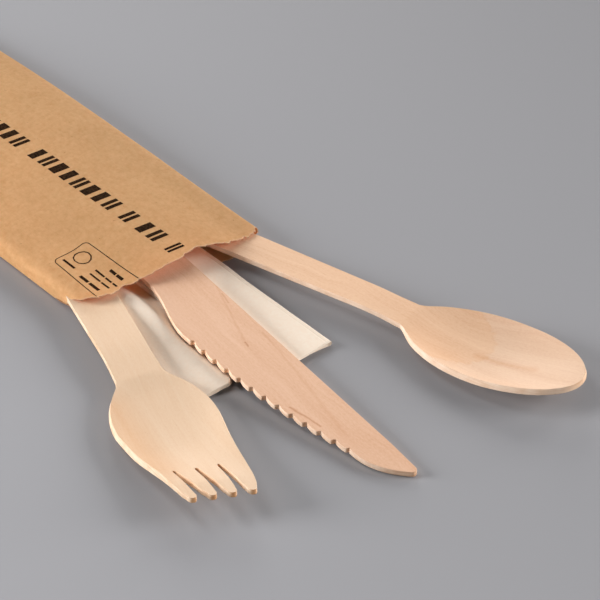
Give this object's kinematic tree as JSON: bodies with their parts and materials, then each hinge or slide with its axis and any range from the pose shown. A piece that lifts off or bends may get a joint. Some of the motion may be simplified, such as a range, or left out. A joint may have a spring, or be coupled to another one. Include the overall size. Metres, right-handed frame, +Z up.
{
  "type": "wooden cutlery set",
  "caption": "Flat pressed-wood fork, serrated knife and spoon beside a folded napkin, their handles in a torn-open kraft paper sachet.",
  "frame": {"origin": "centre of the set's bounding box, on the plane that the set lies on", "axes": "+X along the sachet, from its sealed end to its torn mouth and the heads of the cutlery; +Z up, out of the table"},
  "size_m": [0.3222, 0.1328, 0.0106],
  "materials": {
    "kraft_paper": "matt uncoated brown paper",
    "tissue": "soft matt paper tissue",
    "pale_birch": "bare pressed birch veneer",
    "pink_birch": "bare pressed birch veneer",
    "warm_birch": "bare pressed birch veneer"
  },
  "bodies": {
    "root": {"sachet": "kraft_paper", "napkin": "tissue", "fork": "pale_birch", "knife": "pink_birch", "spoon": "warm_birch"}
  },
  "joints": []
}
